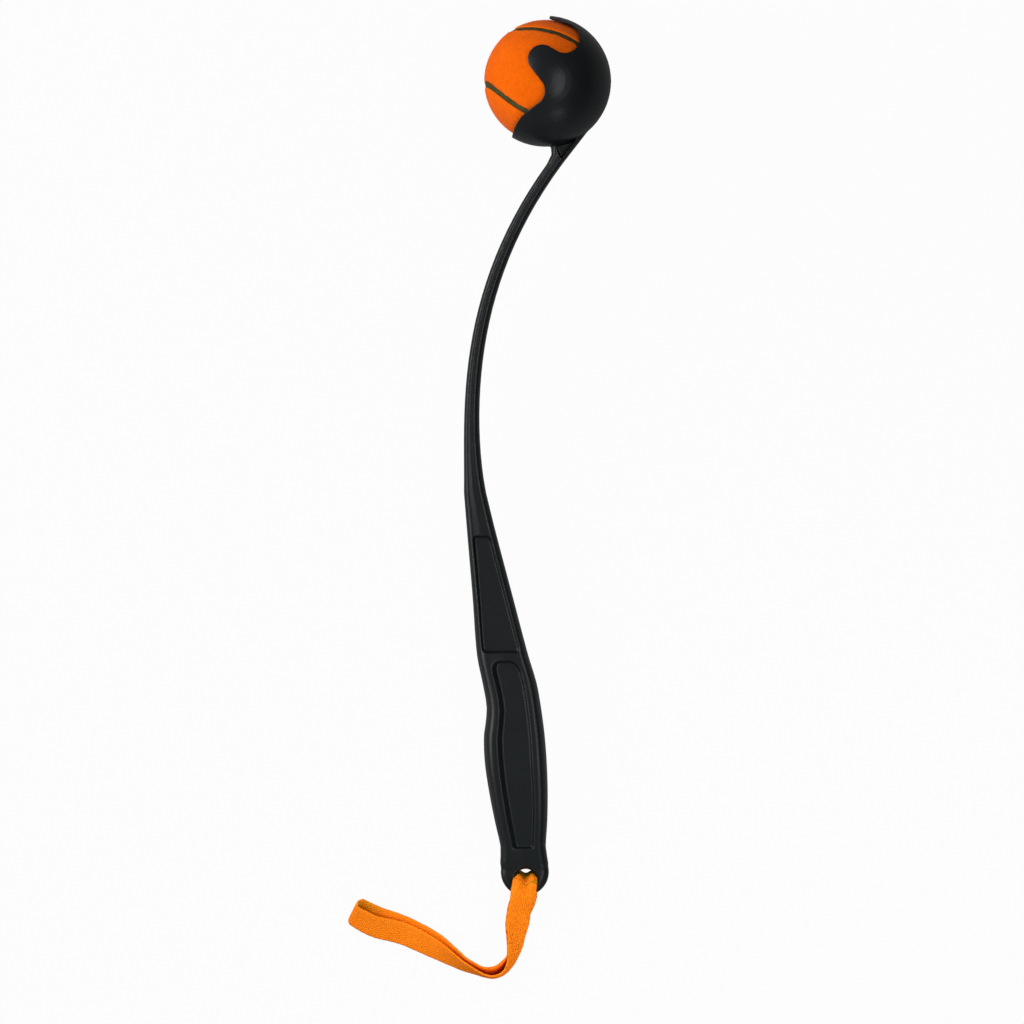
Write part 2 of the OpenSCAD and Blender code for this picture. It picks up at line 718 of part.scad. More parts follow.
strap_stations = concat(
    [for (i = [turn_steps : -1 : 0]) turn_station(90 * i / turn_steps, front_turn, false)],
    [for (s = [line_step : line_step : last_knot]) upper_station(s)],
    [for (i = [1 : fold_steps - 1]) fold_station(180 * i / fold_steps)],
    [for (s = [last_knot : -line_step : lap_to + line_step / 2]) lower_station(s, 0)],
    [lower_station(lap_to + lap_edge, 0)],
    [for (s = [lap_to, tacks[1] + tack_share, tacks[1], (lap_from + lap_to) / 2,
               tacks[0] + tack_share, tacks[0], lap_from]) lower_station(s, lap_t)],
    [lower_station(lap_from - lap_edge, 0)],
    [for (s = [lap_from - line_step : -line_step : line_step]) lower_station(s, 0)],
    [for (i = [0 : turn_steps]) turn_station(90 * i / turn_steps, low_turn, true)]);
strap_rings = [for (st = strap_stations) strip_ring(st)];

// Middle of the whole object over the table
strap_left = min([for (ring = strap_rings) for (p = ring) p[0]]);
strap_low = min([for (ring = strap_rings) for (p = ring) p[1]]);
prong_a = mouth_turn - acos(prong_reach / cup_r);
cup_top = reach * cos(rest_tilt) + cup_r * sin(min(90, prong_a));
centre = [(strap_left + cup_side + cup_r) / 2, (strap_low + cup_top) / 2];

module lie() {
    translate([-centre[0], -centre[1], rest_h])
        rotate([rest_tilt, 0, 0])
            children();
}

module wrist_strap() {
    color(web_orange)
        translate([-centre[0], -centre[1], 0])
            closed_loft(strap_rings);
}

// One face of a bar tack, laid over the webbing
module tack(s, below, above) {
    rings = [for (at = [s + tack_share, s]) let (st = lower_station(at, 0))
        strip_ring([st[0], st[1], st[2], tack_w, st[4], below, above])];
    loft(rings);
}

module strap_stitching() {
    clear = 0.15;
    outer = strap_t / 2 + clear;
    inner = strap_t / 2 + lap_t + clear;
    color(thread_orange)
        translate([-centre[0], -centre[1], 0])
            for (s = tacks) {
                tack(s, -outer, outer + thread_t);
                tack(s, inner + thread_t, -inner);
            }
}

launcher();
core_half_inner();
core_half_outer();
felt_panel_a();
felt_panel_b();
ball_seam();
wrist_strap();
strap_stitching();
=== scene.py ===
import bpy
import json
import math
from mathutils import Euler, Matrix, Vector


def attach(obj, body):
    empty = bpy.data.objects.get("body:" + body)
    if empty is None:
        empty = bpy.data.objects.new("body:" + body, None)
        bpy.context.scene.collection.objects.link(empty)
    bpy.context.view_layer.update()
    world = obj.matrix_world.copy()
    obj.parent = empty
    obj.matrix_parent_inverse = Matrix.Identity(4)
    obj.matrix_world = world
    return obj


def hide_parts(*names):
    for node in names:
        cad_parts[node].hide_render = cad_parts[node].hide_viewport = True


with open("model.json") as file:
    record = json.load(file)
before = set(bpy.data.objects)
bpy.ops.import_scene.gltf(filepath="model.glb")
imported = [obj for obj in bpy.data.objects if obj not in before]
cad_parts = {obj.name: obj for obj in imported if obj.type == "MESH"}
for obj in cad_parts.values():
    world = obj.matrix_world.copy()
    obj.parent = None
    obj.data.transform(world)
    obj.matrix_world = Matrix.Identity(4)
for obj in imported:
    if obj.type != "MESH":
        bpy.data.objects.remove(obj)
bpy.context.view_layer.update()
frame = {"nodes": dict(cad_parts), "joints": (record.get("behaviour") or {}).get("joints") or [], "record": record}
print("frame loaded:", ", ".join(sorted(frame["nodes"])))

# the stick's own directions, read from the joints
joints = {joint["name"]: joint for joint in frame["joints"]}
releaseAxis = Vector(joints["ball_release"]["axis"])
holeCentre = Vector(joints["strap_swing"]["pos_m"])
stickTilt = math.atan2(releaseAxis.z, releaseAxis.y)  # the stick lies on its belly and its cup
stickAcross = Vector((1, 0, 0))
stickAlong = Vector((0, math.cos(stickTilt), math.sin(stickTilt)))
stickOut = stickAcross.cross(stickAlong)  # square to the mirror plane, towards the camera
mounts = {mount["name"]: mount for mount in frame["record"]["mounts"]}
ballCentre = Vector(mounts["ball_cup"]["pos_m"])
mm = 0.001


def onStick(across, along, out=0.0):
    return holeCentre + across * stickAcross + along * stickAlong + out * stickOut


# camera

photoView = {
    "frameWidth": 0.5427,  # metres across the picture, from the ball's diameter
    "aimAcross": -0.0073,  # picture's middle from the strap hole
    "aimAlong": 0.1947,
    "distance": 12.0,
    "sensor": 36.0,
}


def makeCamera(view):
    lens = bpy.data.cameras.new("photoCamera")
    lens.sensor_width = view["sensor"]
    lens.lens = view["sensor"] * view["distance"] / view["frameWidth"]
    lens.clip_end = 50
    camera = bpy.data.objects.new("photoCamera", lens)
    bpy.context.scene.collection.objects.link(camera)
    spot = onStick(view["aimAcross"], view["aimAlong"], view["distance"])
    turn = Matrix((stickAcross, stickAlong, stickOut)).transposed()
    camera.matrix_world = Matrix.Translation(spot) @ turn.to_4x4()
    bpy.context.scene.camera = camera


makeCamera(photoView)
print("camera set")


# shader building

class Wire:  # a socket that can be used in plain sums
    def __init__(self, owner, socket):
        self.owner = owner
        self.socket = socket

    def sum(self, operation, other=None, swap=False):
        pair = (other, self) if swap else (self, other)
        return self.owner.node("ShaderNodeMath", {"operation": operation}, {0: pair[0], 1: pair[1]})

    def __add__(self, other):
        return self.sum("ADD", other)

    def __radd__(self, other):
        return self.sum("ADD", other, True)

    def __sub__(self, other):
        return self.sum("SUBTRACT", other)

    def __rsub__(self, other):
        return self.sum("SUBTRACT", other, True)

    def __mul__(self, other):
        return self.sum("MULTIPLY", other)

    def __rmul__(self, other):
        return self.sum("MULTIPLY", other, True)

    def __abs__(self):
        return self.sum("ABSOLUTE")


class Nodes:  # the node tree of a material or of the world
    def __init__(self, tree):
        self.tree = tree

    def node(self, kind, settings=None, sockets=None, out=0):
        made = self.tree.nodes.new(kind)
        for key, value in (settings or {}).items():
            setattr(made, key, value)
        for key, value in (sockets or {}).items():
            self.feed(made.inputs[key], value)
        return Wire(self, made.outputs[out])

    def feed(self, socket, value):
        if isinstance(value, Wire):
            self.tree.links.new(value.socket, socket)
        elif value is not None:
            socket.default_value = (*value, 1) if socket.type == "RGBA" else value


class Finish(Nodes):  # one material, whose Principled BSDF it feeds
    def __init__(self, name):
        self.material = bpy.data.materials.new(name)
        self.material.use_nodes = True
        super().__init__(self.material.node_tree)
        self.shader = self.tree.nodes["Principled BSDF"]

    def set(self, **values):
        for name, value in values.items():
            self.feed(self.shader.inputs[name.replace("_", " ")], value)

    def place(self):
        return self.node("ShaderNodeTexCoord", out="Object")

    def noise(self, where, scale, detail, roughness):
        sockets = {"Vector": where, "Scale": scale, "Detail": detail, "Roughness": roughness}
        return self.node("ShaderNodeTexNoise", {}, sockets, "Fac")

    def blend(self, share, first, second):
        return self.node("ShaderNodeMix", {"data_type": "RGBA"}, {0: share, 6: first, 7: second}, 2)

    def relief(self, height, depth, strength):
        sockets = {"Height": height, "Distance": depth, "Strength": strength}
        return self.node("ShaderNodeBump", {}, sockets)

    def soften(self, value, low, high):  # smooth step from 0 at low to 1 at high
        return self.node("ShaderNodeMapRange", {"interpolation_type": "SMOOTHSTEP"},
                         {"Value": value, "From Min": low, "From Max": high})


def deselectAll():
    if bpy.context.object and bpy.context.object.mode != "OBJECT":
        bpy.ops.object.mode_set(mode="OBJECT")
    bpy.ops.object.select_all(action="DESELECT")


def makeActive(piece):
    deselectAll()
    piece.select_set(True)
    bpy.context.view_layer.objects.active = piece


def meshPiece(name, points, faces):
    mesh = bpy.data.meshes.new(name)
    mesh.from_pydata(points, [], faces)
    mesh.update()
    piece = bpy.data.objects.new(name, mesh)
    bpy.context.scene.collection.objects.link(piece)
    mesh.shade_smooth()
    return piece


def dress(piece, finish, body):
    piece.data.materials.clear()
    piece.data.materials.append(finish.material)
    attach(piece, body)


def mergedCopy(node, name):  # a CAD node's loose triangles, joined into one skin
    piece = bpy.data.objects.new(name, frame["nodes"][node].data.copy())
    bpy.context.scene.collection.objects.link(piece)
    makeActive(piece)
    bpy.ops.object.mode_set(mode="EDIT")
    bpy.ops.mesh.select_all(action="SELECT")
    bpy.ops.mesh.remove_doubles(threshold=0.00001)
    bpy.ops.object.mode_set(mode="OBJECT")
    return piece


def faceOutwards(piece):
    makeActive(piece)
    bpy.ops.object.mode_set(mode="EDIT")
    bpy.ops.mesh.select_all(action="SELECT")
    bpy.ops.mesh.normals_make_consistent(inside=False)
    bpy.ops.object.mode_set(mode="OBJECT")


def applied(piece, kind, **settings):
    makeActive(piece)
    modifier = piece.modifiers.new(kind.lower(), kind)
    for key, value in settings.items():
        setattr(modifier, key, value)
    bpy.ops.object.modifier_apply(modifier=modifier.name)


# launcher moulding

mouldedStick = {
    "skinPitch": 0.00036,  # size of the skin's squares before it is thinned
    "edgeRounds": 8,  # passes that round the moulded edges
    "skinFaces": 190000,
    "baseColour": (0.0024, 0.004, 0.005),
    "wornColour": (0.0038, 0.0058, 0.0069),
    "roughness": 0.27,
    "grainSize": 0.0007,
    "flowScale": 260.0,
    "cloudScale": 55.0,
    "reliefDepth": 0.00004,
    "partingLine": 0.00016,  # half the width of the ridge where the mould closes
}


def stickPlastic(look):
    finish = Finish("blackPolypropylene")
    where = finish.place()
    grain = finish.noise(where, 1 / look["grainSize"], 2.0, 0.6)
    cloud = finish.noise(where, look["cloudScale"], 4.0, 0.6)
    flow = finish.noise(where, look["flowScale"], 3.0, 0.55)
    across = finish.node("ShaderNodeVectorMath", {"operation": "DOT_PRODUCT"},
                         {0: where, 1: tuple(stickOut)}, "Value")
    fromMirror = abs(across - holeCentre.dot(stickOut))
    parting = 1 - finish.soften(fromMirror, look["partingLine"] * 0.4, look["partingLine"])
    height = grain * 0.5 + flow * 0.6 + parting * 2.2
    finish.set(Base_Color=finish.blend(cloud, look["baseColour"], look["wornColour"]),
               Roughness=look["roughness"] + 0.08 * cloud + 0.06 * flow,
               Normal=finish.relief(height, look["reliefDepth"], 0.6),
               Specular_IOR_Level=0.3)
    return finish


def makeLauncher(look):
    piece = mergedCopy("launcher", "launcherSkin")
    applied(piece, "REMESH", mode="VOXEL", voxel_size=look["skinPitch"], use_smooth_shade=True)
    applied(piece, "SMOOTH", factor=0.5, iterations=look["edgeRounds"])
    triangles = 2 * len(piece.data.polygons)  # two to each of the skin's squares
    applied(piece, "DECIMATE", ratio=look["skinFaces"] / triangles)
    piece.data.shade_smooth()
    dress(piece, stickPlastic(look), "launcher")
    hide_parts("launcher")
    print("launcher skin:", len(piece.data.polygons), "faces")


makeLauncher(mouldedStick)


# wrist strap: its form in millimetres, its weave in metres

webbing = {
    "width": 15.0,
    "thickness": 1.2,
    "lift": 0.2,  # clearance over the table
    "buttThickness": 9.0,
    "bow": 1.6,  # how far it stands out in front of the butt
    "bendRadius": 1.3,  # where the upper ply bends into the hole
    "bendAlong": -3.3,
    "bendShear": 0.45,  # how far the bend's sides lie above its middle
    "turnRadius": 3.0,  # where it turns down again behind the butt
    "turnAlong": 0.2,
    "holeFold": (33.0, -48.0),  # slopes of its middle and of its flanks inside the hole
    "turnFold": (30.0, -62.0),
    "turnFolded": 0.25,  # how far the turn has gone over to the hole's fold at its end
    "spineRun": 0.2,  # shares of the half width: where the middle has its slope
    "flankFrom": 0.42,
    "flankRun": 0.22,
    "edgeRound": 12,  # power of the rounding of its edges
    "lapSpan": (3.0, 4.6),  # where it is sewn into a loop, in knots along the lower ply
    "lapThickness": 1.25,
    "lapStep": 0.03,
    "lapClear": 0.04,  # least way, in knots, from a step of the lap to the next ring
    "ringStep": 0.125,  # share of a knot's spacing
    "turnRings": 14,
    "pleatRings": 8,  # of the turn's rings, those that take up its fold
    "holeRings": 15,
    "bendRings": 8,
    "loopRings": 14,
    "acrossSteps": 24,
    "selvageWave": 0.11,
    "selvageTurns": (1.7, 0.63),
    "shearRun": 1.6,  # knots of the upper ply over which the bend's shear fades
    "creaseShadeFrom": 0.625,  # share of the bend where the painted shade of its crease starts
    # knots of the upper ply over which the crease's painted shade fades
    "creaseShadeRun": 0.3,
    "holeShadeRun": 0.6,  # share of the way through the hole over which its painted shade fades out
    "mouthShadeFrom": 1.7,  # knots before the loop's end where the painted shade on its inside starts
    "mouthShadeRun": 1.5,
    # share of painted shade on the inside of the loop's mouth
    "mouthShade": 0.55,
    "twillPitch": 0.00125,
    "twillSlope": 0.36,  # how fast the chevrons run across
    "pickPitch": 0.0009,
    "fuzzScale": 2400.0,
    "cloudScale": 110.0,
    "reliefDepth": 0.0002,
    "colour": (0.97, 0.22, 0.004),
    "shadeColour": (0.62, 0.08, 0.001),
    "lightColour": (1.0, 0.27, 0.012),
    "paintedShadeColour": (0.4, 0.18, 0.003),  # painted shade inside the hole, on the bend's crease and in the loop's mouth
}
exitLift = holeCentre.z / mm + webbing["buttThickness"] / 2 + webbing["bow"]
onTable = webbing["lift"]
# each ply's route from the hole's axis: across, along, lean from flat in degrees,
# height of the lower edge, slopes of the middle and of the flanks
upperPly = [
    (0, webbing["bendAlong"], 0, exitLift, 30, -42),
    (-0.8, -6.4, 15, exitLift - 0.5, 20, -26),
    (-1.8, -11, 26, exitLift - 2.8, 8, -10),
    (-3.1, -16.4, 35, 8.2, 0, 0),
    (-3.9, -22, 37, 5.5, 0, 0),
    (-4.9, -30, 51, 3.6, 0, 0),
    (-5.7, -36.6, 61, 2.5, 0, 0),
    (-7.4, -43, 74, 0.9, 0, 0),
    (-9.9, -47.6, 83, onTable, 0, 0),
    (-13, -50.4, 87, onTable, 0, 0),
    (-17, -51.7, 88, onTable, 0, 0),
    (-21, -51.2, 88, onTable, 0, 0),
    (-25, -49.7, 85, onTable, 0, 0),
    (-33.4, -45.8, 74, onTable, 0, 0),
    (-38.7, -42.6, 66, onTable, 0, 0),
    (-50, -35.8, 48, onTable, 0, 0),
    (-65, -28.6, 40, onTable, 0, 0),
    (-80, -24.8, 42, onTable, 0, 0),
    (-90.4, -19.6, 46, onTable, 0, 0),
]
lowerPly = [
    (0, webbing["turnAlong"], 0, 1.3, 22, -72),
    (-0.9, -5.8, 8, 0.6, 8, -38),
    (-1.9, -11, 23, 0.3, 2, -12),
    (-3.9, -17, 34, onTable, 0, 0),
    (-5.5, -24, 43, onTable, 0, 0),
    (-6, -31, 53, onTable, 0, 0),
    (-6.7, -37, 64, onTable, 0, 0),
    (-8.1, -42, 72, onTable, 0, 0),
    (-11.6, -45.3, 75, onTable, 0, 0),
    (-14.4, -47.5, 75, onTable, 0, 0),
    (-17.5, -48.6, 75, onTable, 0, 0),
    (-21, -48.6, 77, onTable, 0, 0),
    (-24.6, -47.4, 80, onTable, 0, 0),
    (-32.1, -43.8, 74, onTable, 0, 0),
    (-37.2, -40.5, 65, onTable, 0, 0),
    (-48.4, -33.2, 46, onTable, 0, 0),
    (-64.4, -25.4, 38, onTable, 0, 0),
    (-79.1, -20.1, 38, onTable, 0, 0),
    (-89, -15, 43, onTable, 0, 0),
]
lastKnot = len(upperPly) - 1


def ease(t):
    t = max(0.0, min(1.0, t))
    return t * t * (3 - 2 * t)


def between(first, second, share):
    return [a + (b - a) * share for a, b in zip(first, second)]


def knotAt(ply, place):  # a smooth curve through the knots
    at = max(0, min(lastKnot - 1, math.floor(place)))
    t = place - at

    def slope(i):
        low, high = max(i - 1, 0), min(i + 1, lastKnot)
        return [(b - a) / (high - low) for a, b in zip(ply[low], ply[high])]

    weights = (2 * t**3 - 3 * t**2 + 1, t**3 - 2 * t**2 + t, 3 * t**2 - 2 * t**3, t**3 - t**2)
    parts = (ply[at], slope(at), ply[at + 1], slope(at + 1))
    return [sum(w * part[i] for w, part in zip(weights, parts)) for i in range(6)]


def plyMiddle(ply, place):
    x, y, lean, lift = knotAt(ply, place)[:4]
    lean = math.radians(lean)
    rise = webbing["width"] / 2 * math.sin(lean) + webbing["thickness"] / 2 * math.cos(lean)
    return Vector((x, y, max(lift, webbing["lift"]) + rise))


def plyAlong(ply, place):
    step = 0.02  # of the way from knot to knot
    return (plyMiddle(ply, place + step) - plyMiddle(ply, place - step)).normalized()


def plyUp(ply, place):
    ahead = plyAlong(ply, place)
    flat = Vector((ahead.x, ahead.y, 0)).normalized()
    lean = math.radians(knotAt(ply, place)[2])
    return Vector((-flat.y * math.sin(lean), flat.x * math.sin(lean), math.cos(lean)))


def station(middle, along, up, slopes=(0, 0), **more):
    up = (up - up.dot(along) * along).normalized()
    at = {"middle": middle, "up": up, "side": along.cross(up), "slopes": slopes}
    return {**at, "lap": 0.0, "shear": 0.0, "deep": 0.0, "mouth": 0.0, **more}


def plyStation(ply, place, lap=0.0):
    way = 1 if ply is upperPly else -1
    more = {"lap": lap}
    # how far into the loop's mouth, whose inside gets painted shade
    more["mouth"] = ease((place - lastKnot + webbing["mouthShadeFrom"]) / webbing["mouthShadeRun"])
    if way == 1:
        more["shear"] = webbing["bendShear"] * (1 - ease(place / webbing["shearRun"]))
        # painted shade of the crease, fading over the start of the upper ply
        more["deep"] = 1 - ease(place / webbing["creaseShadeRun"])
    along, up = way * plyAlong(ply, place), way * plyUp(ply, place)
    return station(plyMiddle(ply, place), along, up, knotAt(ply, place)[4:], **more)


def turnStation(angle, centre, radius, slopes, **more):
    a = math.radians(angle)  # 0 faces the camera, 90 the cup and 180 the table
    up = Vector((0, math.sin(a), math.cos(a)))
    return station(centre + radius * up, Vector((0, -up.z, up.y)), up, slopes, **more)


def holeStations():  # up behind the butt, aslant through the hole and round the bend in front
    bendRadius, turnRadius = webbing["bendRadius"], webbing["turnRadius"]
    bend = plyMiddle(upperPly, 0) - Vector((0, 0, bendRadius))
    turn = plyMiddle(lowerPly, 0) + Vector((0, 0, turnRadius))
    gap = bend - turn
    slant = math.acos((turnRadius - bendRadius) / gap.length) - math.atan2(-gap.y, gap.z)
    slant = math.degrees(slant)
    back, front = lowerPly[0][4:], upperPly[0][4:]
    fold, hole, folded = webbing["turnFold"], webbing["holeFold"], webbing["turnFolded"]
    turnRings, pleatRings = webbing["turnRings"], webbing["pleatRings"]
    shear = webbing["bendShear"]
    made = []
    for i in range(turnRings + 1):
        if i < pleatRings:
            slopes = between(back, fold, ease(i / pleatRings))
        else:
            slopes = between(fold, hole, folded * (i - pleatRings) / (turnRings - pleatRings))
        angle = 180 - (180 - slant) * i / turnRings
        # the turn behind the butt is painted fully in shade
        made.append(turnStation(angle, turn, turnRadius, slopes, deep=1.0))
    for i in range(1, webbing["holeRings"]):
        t = i / webbing["holeRings"]
        slopes = between(fold, hole, ease(folded + (1 - folded) * t))
        radius = turnRadius + (bendRadius - turnRadius) * t
        # painted shade fading out on the way through the hole
        made.append(turnStation(slant, turn.lerp(bend, t), radius, slopes, shear=shear * ease(t),
                                deep=ease((1 - t) / webbing["holeShadeRun"])))
    for i in range(webbing["bendRings"] + 1):
        t = i / webbing["bendRings"]
        # painted shade on the crease of the front bend
        creaseShade = ease((t - webbing["creaseShadeFrom"]) / (1 - webbing["creaseShadeFrom"]))
        slopes = between(hole, front, ease(t))
        angle = slant * (1 - t)
        made.append(turnStation(angle, bend, bendRadius, slopes, shear=shear, deep=creaseShade))
    return made


def foldStations(count):  # the turn at the far end, from the upper ply round to the lower one
    up, along = plyUp(upperPly, lastKnot), plyAlong(upperPly, lastKnot)
    side = along.cross(up)
    top, bottom = plyMiddle(upperPly, lastKnot), plyMiddle(lowerPly, lastKnot)
    span = top - bottom
    made = []
    for i in range(1, count):
        a = math.pi * i / count
        facing = math.cos(a) * up + math.sin(a) * along
        slip = span.dot(side) * (0.5 - i / count)
        # the far turn lies wholly in the loop's mouth, painted in shade on its inside
        made.append(station((top + bottom) / 2 + span.dot(up) / 2 * facing + slip * side,
                            math.cos(a) * along - math.sin(a) * up, facing, mouth=1.0))
    return made


def strapStations():
    step = webbing["ringStep"]
    count = round(lastKnot / step)
    stations = holeStations()
    stations += [plyStation(upperPly, i * step) for i in range(1, count + 1)]
    stations += foldStations(webbing["loopRings"])
    first, last = webbing["lapSpan"]
    lapStep = webbing["lapStep"]
    edges = [last + lapStep, last, first, first - lapStep]
    places = [i * step for i in range(1, count + 1)]
    places = [s for s in places if min(abs(s - edge) for edge in edges) > webbing["lapClear"]]
    for s in sorted(places + edges, reverse=True):
        lap = webbing["lapThickness"] if first <= s <= last else 0.0
        stations.append(plyStation(lowerPly, s, lap))
    return stations


def acrossSection(slopes, width):  # points from the middle to one edge: sideways, up, turn
    half = webbing["acrossSteps"] // 2
    points, x, y = [(0.0, 0.0, 0.0)], 0.0, 0.0

    def turnAt(k):
        flank = ease((k / half - webbing["flankFrom"]) / webbing["flankRun"])
        middle = slopes[0] * ease(k / half / webbing["spineRun"])
        return math.radians(middle * (1 - flank) + slopes[1] * flank)

    for k in range(half):
        turn = turnAt(k + 0.5)
        x += width / 2 / half * math.cos(turn)
        y += width / 2 / half * math.sin(turn)
        points.append((x, y, turnAt(k + 1)))
    return points


def strapPoint(at, across, off):  # across is a point of the section, mirrored by a negative side
    x, y, turn, side = across
    sideways, upwards = side * (x - off * math.sin(turn)), y + off * math.cos(turn)
    point = at["middle"] + sideways * at["side"] + upwards * at["up"]
    point.y += at["shear"] * x
    return Vector((holeCentre.x, holeCentre.y, 0)) + point * mm


def webbingFinish(look):
    finish = Finish("herringboneWebbing")
    uv = finish.node("ShaderNodeUVMap", {"uv_map": "webbing"})
    u = finish.node("ShaderNodeSeparateXYZ", {}, {0: uv}, "X")
    v = finish.node("ShaderNodeSeparateXYZ", {}, {0: uv}, "Y")
    fuzz = finish.noise(finish.place(), look["fuzzScale"], 3.0, 0.6)
    cloud = finish.noise(finish.place(), look["cloudScale"], 3.0, 0.55)
    fromSpine = abs(u - look["width"] * mm / 2)
    cycle = 2 * math.pi
    chevron = (fromSpine - v * look["twillSlope"]) * (cycle / look["twillPitch"])
    twill = chevron.sum("SINE") * 0.5 + 0.5
    picks = (v * (cycle / look["pickPitch"]) + fuzz * 2.0).sum("SINE") * 0.5 + 0.5
    weave = twill * 0.75 + picks * 0.25
    shaded = finish.blend(finish.soften(weave, 0.1, 0.5), look["shadeColour"], look["colour"])
    lit = finish.blend(cloud * 0.5 + fuzz * 0.2, shaded, look["lightColour"])
    # painted shade inside the hole, on the crease and in the loop's mouth, read from the point attribute
    deep = finish.node("ShaderNodeAttribute", {"attribute_name": "deep"}, {}, "Fac")
    finish.set(Base_Color=finish.blend(deep, lit, look["paintedShadeColour"]),
               Roughness=0.8 + 0.15 * fuzz,
               Normal=finish.relief(weave + fuzz * 0.3, look["reliefDepth"], 0.6),
               Specular_IOR_Level=0.08)
    return finish


def makeStrap(look):
    stations = strapStations()
    half = look["acrossSteps"] // 2
    ring = 4 * half
    quick, slow = look["selvageTurns"]
    points, deep, lengths, total = [], [], [], 0.0
    for i, at in enumerate(stations):
        if i:
            total += (at["middle"] - stations[i - 1]["middle"]).length
        lengths.append(total * mm)
        wave = math.sin(total * quick) + math.sin(total * slow + 1)  # slightly uneven edges
        section = acrossSection(at["slopes"], look["width"] + look["selvageWave"] * wave)
        steps = range(-half, half + 1)
        path = [(*section[abs(k)], -1 if k < 0 else 1) for k in steps]
        edges = [(abs(k) / half) ** look["edgeRound"] for k in steps]
        thick = [look["thickness"] / 2 * (1 - edge) ** 0.5 for edge in edges]
        points += [strapPoint(at, across, off) for across, off in zip(path, thick)]
        under = range(2 * half - 1, 0, -1)
        points += [strapPoint(at, path[k], -thick[k] - at["lap"]) for k in under]
        # painted shade for each point of the ring; the inner face also takes the loop's mouth shade
        deep += [at["deep"]] * len(path)
        deep += [max(at["deep"], look["mouthShade"] * at["mouth"])] * len(under)
    loop = (total + (stations[0]["middle"] - stations[-1]["middle"]).length) * mm
    faces, corners = [], []
    for k in range(len(stations)):
        after = (k + 1) % len(stations)
        ends = (lengths[k], lengths[after] if after else loop)
        for i in range(ring):
            j = (i + 1) % ring
            faces.append((k * ring + i, k * ring + j, after * ring + j, after * ring + i))
            near, far = [look["width"] * mm * min(n, ring - n) / (2 * half) for n in (i, i + 1)]
            corners += [(near, ends[0]), (far, ends[0]), (far, ends[1]), (near, ends[1])]
    piece = meshPiece("wristStrapWebbing", points, faces)
    uv = piece.data.uv_layers.new(name="webbing")
    for spot, corner in zip(uv.data, corners):
        spot.uv = corner
    # the painted-shade weights, kept as a point attribute
    piece.data.attributes.new("deep", "FLOAT", "POINT").data.foreach_set("value", deep)
    dress(piece, webbingFinish(look), "strap")
    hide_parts("wrist_strap")
    print("strap loop:", round(loop / mm), "mm")


makeStrap(webbing)


# ball cover

ballCover = {
    "radius": 0.0325,
    "skinPitch": 0.0008,
    "edgeRounds": 5,
    "seamTurn": (90.0, 37.4, 243.7),
    "seamWidth": 0.0031,
    "napCount": 9000,
    "napLength": 0.0011,
    "napHeight": 0.00026,
    "napSunk": 0.00015,  # depth of each fibre's root in the felt
    "napWidths": (0.00005, 0.00004),  # at the root and at the knee
    "napTurn": 2.399963,  # golden angle, which spreads the fibres evenly
    "fibreScale": 1500.0,
    "tuftScale": 420.0,
    "cloudScale": 75.0,
    "reliefDepth": 0.0004,
    "colour": (0.81, 0.12, 0.0008),
    "shadeColour": (0.7, 0.108, 0.0008),
    "lightColour": (0.86, 0.142, 0.0015),
}


def feltFinish(look):
    finish = Finish("needledFelt")
    where = finish.place()
    fibres = finish.noise(where, look["fibreScale"], 6.0, 0.7)
    tufts = finish.noise(where, look["tuftScale"], 4.0, 0.6)
    cloud = finish.noise(where, look["cloudScale"], 3.0, 0.5)
    base = finish.blend(finish.soften(tufts, 0.3, 0.62), look["shadeColour"], look["colour"])
    bright = finish.soften(fibres * 0.6 + cloud * 0.4, 0.45, 0.7)
    finish.set(Base_Color=finish.blend(bright, base, look["lightColour"]),
               Roughness=0.88 + 0.1 * fibres,
               Normal=finish.relief(fibres * 0.5 + tufts * 0.7, look["reliefDepth"], 0.7),
               Sheen_Weight=0.04, Sheen_Roughness=0.5, Specular_IOR_Level=0.04)
    return finish


def seamCurve(t):  # on the unit ball
    a = 0.75  # how far its bends swing
    return Vector((a * math.cos(t) + (1 - a) * math.cos(3 * t),
                   a * math.sin(t) - (1 - a) * math.sin(3 * t),
                   2 * math.sqrt(a * (1 - a)) * math.sin(2 * t)))


def makeFelt(look):
    finish = feltFinish(look)
    for node, name in (("felt_panel_a", "feltPanelA"), ("felt_panel_b", "feltPanelB")):
        piece = mergedCopy(node, name)
        applied(piece, "REMESH", mode="VOXEL", voxel_size=look["skinPitch"], use_smooth_shade=True)
        applied(piece, "SMOOTH", factor=0.5, iterations=look["edgeRounds"])
        piece.data.shade_smooth()
        dress(piece, finish, "ball")
        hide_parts(node)
        print(name, len(piece.data.polygons), "faces")
    makeNap(look, finish)


